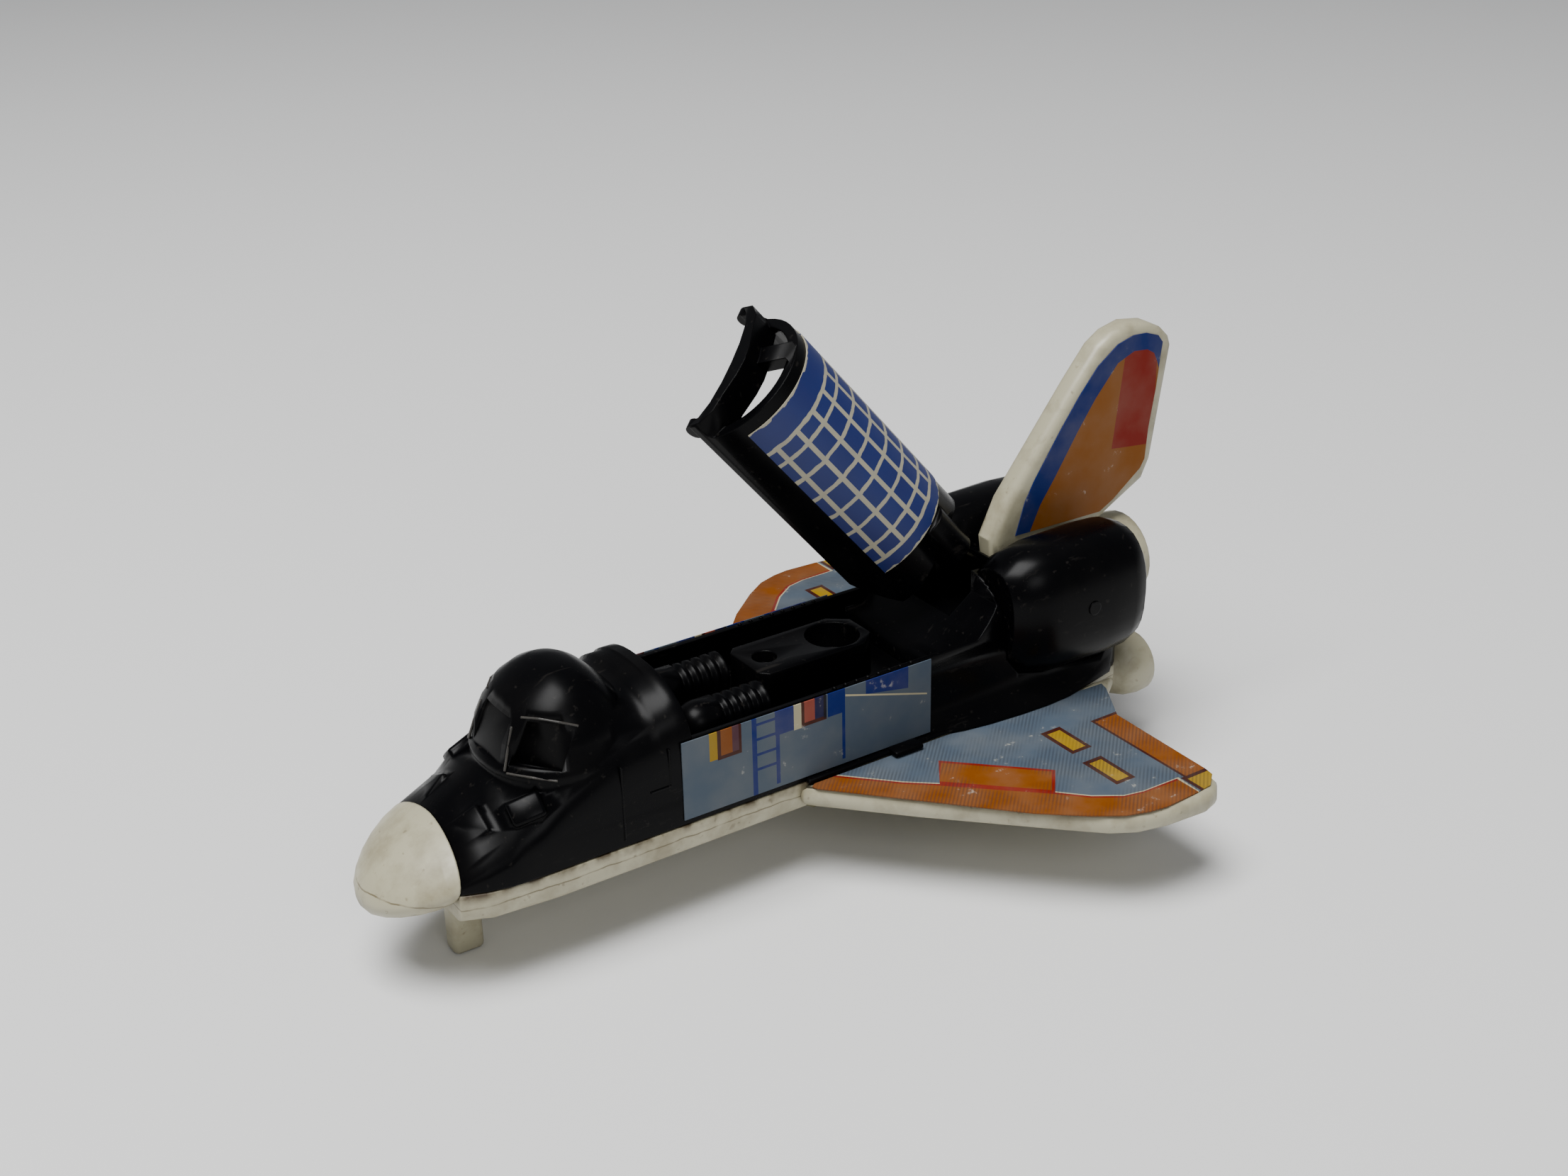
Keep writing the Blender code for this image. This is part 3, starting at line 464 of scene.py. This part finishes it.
# The same paper as the other labels, in two mingled blues, with pale grid lines that waver a little and
# ends worn to the paper. The grid is drawn in the door's own directions: along it from its pivot, and
# round its arch from the crown.
def griddedPaper(name, grid, finish):
    material, tree = newMaterial(name)
    where = addNode(tree, "ShaderNodeTexCoord").outputs["Object"]
    turned = addNode(tree, "ShaderNodeVectorMath", {
        0: where, 1: [-v * mm for v in grid["pivot"]]}, operation="ADD")
    for axis, angle in (("Z", -grid["yaw"]), ("Y", grid["raise"]), ("X", grid["roll"])):
        turned = addNode(tree, "ShaderNodeVectorRotate", {
            "Vector": turned, "Angle": math.radians(angle)}, rotation_type=axis + "_AXIS")
    place = addNode(tree, "ShaderNodeSeparateXYZ", {0: turned})

    waves = addNode(tree, "ShaderNodeTexNoise", {
        "Vector": where, "Scale": 1 / (grid["wave"] * mm), "Detail": 3.0})
    wander = addNode(tree, "ShaderNodeMapRange", {
        "Value": waves, "From Min": 0.3, "From Max": 0.7,
        "To Min": -grid["wander"] * mm, "To Max": grid["wander"] * mm})
    along = addNode(tree, "ShaderNodeMath", {0: place.outputs["X"], 1: wander}, operation="ADD")
    height = addNode(tree, "ShaderNodeMath", {
        0: place.outputs["Z"], 1: grid["arcCentre"] * mm}, operation="SUBTRACT")
    angle = addNode(tree, "ShaderNodeMath", {0: place.outputs["Y"], 1: height}, operation="ARCTAN2")

    lines = 0.0
    for row in grid["rows"]:
        onRow = addNode(tree, "ShaderNodeMath", {
            0: along, 1: row * mm, 2: grid["line"] / 2 * mm}, operation="COMPARE")
        lines = addNode(tree, "ShaderNodeMath", {0: lines, 1: onRow}, operation="MAXIMUM")

    start = math.radians(grid["firstColumn"] + grid["lineAngle"] / 2)
    fromStart = addNode(tree, "ShaderNodeMath", {0: start, 1: angle}, operation="SUBTRACT")
    phase = addNode(tree, "ShaderNodeMath", {
        0: fromStart, 1: math.radians(grid["step"])}, operation="FLOORED_MODULO")
    onColumn = addNode(tree, "ShaderNodeMath", {
        0: phase, 1: math.radians(grid["lineAngle"])}, operation="LESS_THAN")
    middle = (grid["rows"][0] + grid["rows"][-1]) / 2
    reach = (grid["rows"][0] - grid["rows"][-1]) / 2
    between = addNode(tree, "ShaderNodeMath", {0: along, 1: middle * mm, 2: reach * mm}, operation="COMPARE")
    columns = addNode(tree, "ShaderNodeMath", {0: onColumn, 1: between}, operation="MULTIPLY")
    lines = addNode(tree, "ShaderNodeMath", {0: lines, 1: columns}, operation="MAXIMUM")

    wear = addNode(tree, "ShaderNodeTexNoise", {
        "Vector": where, "Scale": 1 / (grid["wear"] * mm), "Detail": 3.0})
    inset = addNode(tree, "ShaderNodeMapRange", {
        "Value": wear, "From Min": 0.35, "From Max": 0.65, "To Max": grid["wornEdge"] * mm})
    low, high = grid["ends"]
    offset = addNode(tree, "ShaderNodeMath", {
        0: place.outputs["X"], 1: (low + high) / 2 * mm}, operation="SUBTRACT")
    fromMiddle = addNode(tree, "ShaderNodeMath", {0: offset}, operation="ABSOLUTE")
    worn = addNode(tree, "ShaderNodeMath", {0: fromMiddle, 1: inset}, operation="ADD")
    bare = addNode(tree, "ShaderNodeMath", {0: worn, 1: (high - low) / 2 * mm}, operation="GREATER_THAN")
    lines = addNode(tree, "ShaderNodeMath", {0: lines, 1: bare}, operation="MAXIMUM")

    fade = addNode(tree, "ShaderNodeTexNoise", {
        "Vector": where, "Scale": 1 / (finish["fade"] * mm), "Detail": 4.0})
    colour = addNode(tree, "ShaderNodeMix", {0: fade, 6: grid["blue"], 7: grid["paleBlue"]}, data_type="RGBA")
    rub = addNode(tree, "ShaderNodeTexNoise", {
        "Vector": where, "Scale": 1 / (grid["rub"] * mm), "Detail": 5.0, "Roughness": 0.65})
    rubbed = addNode(tree, "ShaderNodeMapRange", {
        "Value": rub, "From Min": 0.3, "From Max": 0.7, "To Min": 0.8, "To Max": 1.0})
    share = addNode(tree, "ShaderNodeMath", {0: lines, 1: rubbed}, operation="MULTIPLY")
    colour = addNode(tree, "ShaderNodeMix", {0: share, 6: colour, 7: grid["lines"]}, data_type="RGBA")
    shader = addNode(tree, "ShaderNodeBsdfPrincipled", {
        "Base Color": colour, "Roughness": finish["gloss"], "IOR": finish["ior"]})
    addNode(tree, "ShaderNodeOutputMaterial", {"Surface": shader})
    return material


doorGrid = {
    "pivot": (-20.4, 0.0, 26.4), "yaw": -8.2, "raise": 50.1, "roll": 57.3, "arcCentre": -6.2,
    "rows": (26.36, 24.41, 21.59, 18.64, 15.73, 12.73, 9.84, 7.67), "line": 0.48,
    "firstColumn": 51.2, "step": 19.0, "lineAngle": 3.8, "wave": 1.5, "wander": 0.08,
    "ends": (5.95, 29.5), "wear": 1.2, "wornEdge": 0.3, "rub": 2.5,
    "blue": "#011350", "paleBlue": "#021e60", "lines": "#9d9882",
}
softenedMoulding("door_label", griddedPaper("griddedInkOnPaper", doorGrid, labelFinish))
print("door label made")


def addBox(bm, low, high, rounding):
    made = bmesh.ops.create_cube(bm, size=1.0)
    bmesh.ops.scale(bm, vec=[(h - l) * mm for l, h in zip(low, high)], verts=made["verts"])
    bmesh.ops.translate(bm, vec=[(h + l) / 2 * mm for l, h in zip(low, high)], verts=made["verts"])
    edges = {edge for vert in made["verts"] for edge in vert.link_edges}
    bmesh.ops.bevel(bm, geom=list(edges), offset=rounding * mm, offset_type="OFFSET", affect="EDGES",
                    segments=2, profile=0.5, material=-1)


def addRod(bm, start, end, radius):
    start, end = Vector(start) * mm, Vector(end) * mm
    turn = (end - start).to_track_quat("Z", "Y").to_matrix().to_4x4()
    bmesh.ops.create_cone(bm, cap_ends=True, segments=8, radius1=radius * mm, radius2=radius * mm,
                          depth=(end - start).length, matrix=Matrix.Translation((start + end) / 2) @ turn)


# Small moulded details: a row of beads along each wall of the bay, the lips over the wings' joints, the
# stops that lie over the wings, and a round mark where a pin pushed each pod out of its mould.
beads = {"first": 1.2, "pitch": 1.35, "count": 8, "radius": 0.26, "y": 8.75, "z": 20.4}
tabs = {
    "sillLip_": {"x": (-12.5, 5.2), "y": (9.23, 9.95), "z": (11.29, 11.75), "rounding": 0.15},
    "wingStopTab_": {"x": (-8.4, -4.8), "y": (9.24, 11.0), "z": (11.3, 12.0), "rounding": 0.3},
}
pinMark = {"place": (-29.7, 12.37, 21.8), "radius": 0.8, "depth": 0.1}
# Thin raised lines: round the side windows, painted grey as scuffs and as a painted highlight along the
# frames, and along two panel joints behind.
ridges = {
    "width": 0.26,
    "scuffedAndHighlightBlack": [
        [(32.9, 3.53, 25.12), (31.8, 4.96, 25.26), (30.29, 6.25, 24.97), (28.81, 7.01, 24.46)],
        [(35.1, 4.08, 20.13), (33.59, 6.21, 20.18), (31.61, 7.58, 19.78)],
        [(33.76, 3.19, 24.26), (34.58, 3.59, 22.08), (35.15, 3.81, 20.25)],
    ],
    "black": [
        [(25.8, 9.2, 12.0), (25.8, 9.15, 20.0)],
        [(20.6, 9.1, 20.2), (20.6, 9.2, 16.2), (22.8, 9.2, 16.2)],
    ],
}
for sideName, side in sides.items():
    bm = bmesh.new()
    for i in range(beads["count"]):
        spot = Vector((beads["first"] - i * beads["pitch"], side * beads["y"], beads["z"])) * mm
        bmesh.ops.create_icosphere(bm, subdivisions=2, radius=beads["radius"] * mm,
                                   matrix=Matrix.Translation(spot))
    finishPiece("wallBeads_" + sideName, bm, [plastic["black"]], "shuttle")

    for name, tab in tabs.items():
        bm = bmesh.new()
        (x0, x1), (y0, y1), (z0, z1) = tab["x"], sorted(side * y for y in tab["y"]), tab["z"]
        addBox(bm, (x0, y0, z0), (x1, y1, z1), tab["rounding"])
        finishPiece(name + sideName, bm, [plastic["black"]], "shuttle")

    bm = bmesh.new()
    x, y, z = pinMark["place"]
    facing = Matrix.Translation((x * mm, side * y * mm, z * mm)) @ Matrix.Rotation(math.pi / 2, 4, "X")
    bmesh.ops.create_cone(bm, cap_ends=True, segments=24, radius1=pinMark["radius"] * mm,
                          radius2=pinMark["radius"] * mm, depth=pinMark["depth"] * mm, matrix=facing)
    finishPiece("pinMark_" + sideName, bm, [plastic["black"]], "shuttle")

    for kind in ("scuffedAndHighlightBlack", "black"):
        bm = bmesh.new()
        for run in ridges[kind]:
            spots = [(x, side * y, z) for x, y, z in run]
            for start, end in zip(spots, spots[1:]):
                addRod(bm, start, end, ridges["width"] / 2)
        finishPiece(kind + "Ridges_" + sideName, bm, [plastic[kind]], "shuttle")
print("moulded details made")


# A plain pale table. Its size, and the places of lamps and camera, are in metres.
table = {"size": 3.0, "colour": "#d9d9d8", "roughness": 0.8, "grainScale": 600.0, "bump": 0.1, "depth": 0.05}
bm = bmesh.new()
bmesh.ops.create_grid(bm, x_segments=1, y_segments=1, size=table["size"] / 2)
tableMesh = bpy.data.meshes.new("tableTop")
bm.to_mesh(tableMesh)
bm.free()
tableTop = bpy.data.objects.new("tableTop", tableMesh)
bpy.context.scene.collection.objects.link(tableTop)

# Painted board, matt and very finely uneven, so that it shows soft shadows and no reflections.
board, tree = newMaterial("matteBoard")
where = addNode(tree, "ShaderNodeTexCoord").outputs["Object"]
grain = addNode(tree, "ShaderNodeTexNoise", {"Vector": where, "Scale": table["grainScale"], "Detail": 3.0})
bump = addNode(tree, "ShaderNodeBump", {
    "Height": grain, "Strength": table["bump"], "Distance": table["depth"] * mm})
shader = addNode(tree, "ShaderNodeBsdfPrincipled", {
    "Base Color": table["colour"], "Roughness": table["roughness"], "Normal": bump})
addNode(tree, "ShaderNodeOutputMaterial", {"Surface": shader})
tableMesh.materials.append(board)

# A dim even sky, a soft box above and a little ahead of the toy, and a weak lamp at its port side.
sky = {"colour": (0.93, 0.95, 1.0, 1.0), "strength": 0.22}
world = bpy.data.worlds.new("studioFill")
world.use_nodes = True
background = world.node_tree.nodes["Background"]
background.inputs["Color"].default_value = sky["colour"]
background.inputs["Strength"].default_value = sky["strength"]
bpy.context.scene.world = world

lamps = {
    "softBox": {"place": (0.2, 0.06, 0.68), "aim": (0.0, 0.0, 0.02), "size": 0.4, "power": 9.0},
    "sideFill": {"place": (0.1, 0.5, 0.35), "aim": (0.0, 0.0, 0.02), "size": 0.2, "power": 0.5},
}
for name, lamp in lamps.items():
    light = bpy.data.lights.new(name, "AREA")
    light.shape = "SQUARE"
    light.size = lamp["size"]
    light.energy = lamp["power"]
    holder = bpy.data.objects.new(name, light)
    bpy.context.scene.collection.objects.link(holder)
    away = Vector(lamp["place"]) - Vector(lamp["aim"])
    turn = away.to_track_quat("Z", "Y").to_matrix().to_4x4()
    holder.matrix_world = Matrix.Translation(lamp["place"]) @ turn

# The photograph's camera, with the directions of its own right, up and back.
view = {
    "place": (0.103069843, 0.156177216, 0.117299527), "lens": 47.04, "sensor": 36.0, "nearest": 0.005,
    "right": (-0.832148, 0.554188, -0.020128), "up": (-0.25439, -0.349227, 0.901846),
    "back": (0.492763, 0.75559, 0.431589),
}
camera = bpy.data.cameras.new("photoView")
camera.lens = view["lens"]
camera.sensor_width = view["sensor"]
camera.clip_start = view["nearest"]
cameraHolder = bpy.data.objects.new("photoView", camera)
bpy.context.scene.collection.objects.link(cameraHolder)
axes = Matrix((view["right"], view["up"], view["back"])).transposed().to_4x4()
cameraHolder.matrix_world = Matrix.Translation(view["place"]) @ axes
bpy.context.scene.camera = cameraHolder
print("stage, lights and camera set")
